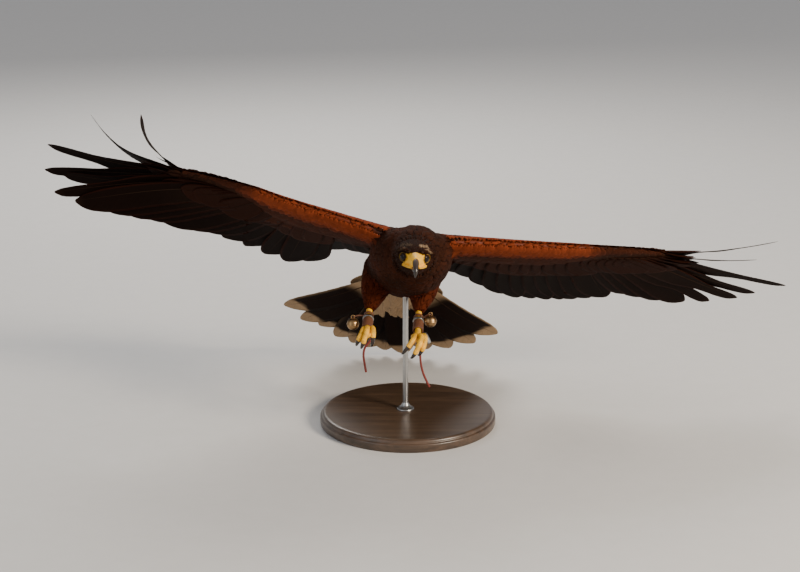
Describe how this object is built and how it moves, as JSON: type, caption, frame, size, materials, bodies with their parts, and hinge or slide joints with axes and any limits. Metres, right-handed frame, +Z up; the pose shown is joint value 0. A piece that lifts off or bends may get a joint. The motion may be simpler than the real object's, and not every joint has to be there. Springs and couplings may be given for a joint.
{
  "type": "harris hawk",
  "caption": "Life-size Harris hawk coming in to land, wings spread, tail fanned and legs lowered, with anklets, bells and hanging jesses, on a plain display stand",
  "frame": {"origin": "centre of the stand base's underside, on the surface it stands on", "axes": "+Z up; the hawk faces -Y, so its left wing points to +X and its right wing to -X"},
  "size_m": [0.9778, 0.4689, 0.3709],
  "materials": {
    "plumage": "soft dark brown feathers",
    "thigh_plumage": "soft chestnut feathers",
    "tail_plumage": "black feathers with white root and tip",
    "bare_skin": "yellow scaled skin, slightly waxy",
    "horn": "smooth grey to black horn",
    "eye": "wet dark brown",
    "leather": "brown leather",
    "strap": "red-brown strap",
    "brass": "dull polished",
    "steel": "satin",
    "stand_wood": "dark stained, satin"
  },
  "bodies": {
    "root": {"torso": "plumage", "neck": "plumage", "head": "plumage", "cere": "bare_skin", "bill_upper": "horn", "bill_lower": "horn", "tail": "tail_plumage", "stand_base": "stand_wood", "stand_rod": "steel", "tag_left": "steel", "wing_left": "plumage", "eye_left": "eye", "thigh_left": "thigh_plumage", "tarsus_left": "bare_skin", "foot_left": "bare_skin", "claw_left_middle": "horn", "claw_left_inner": "horn", "claw_left_outer": "horn", "claw_left_hind": "horn", "bell_left": "brass", "bewit_left": "leather", "ring_left": "steel", "anklet_left": "leather", "jess_left": "strap", "wing_right": "plumage", "eye_right": "eye", "thigh_right": "thigh_plumage", "tarsus_right": "bare_skin", "foot_right": "bare_skin", "claw_right_middle": "horn", "claw_right_inner": "horn", "claw_right_outer": "horn", "claw_right_hind": "horn", "bell_right": "brass", "bewit_right": "leather", "ring_right": "steel", "anklet_right": "leather", "jess_right": "strap"}
  },
  "joints": []
}
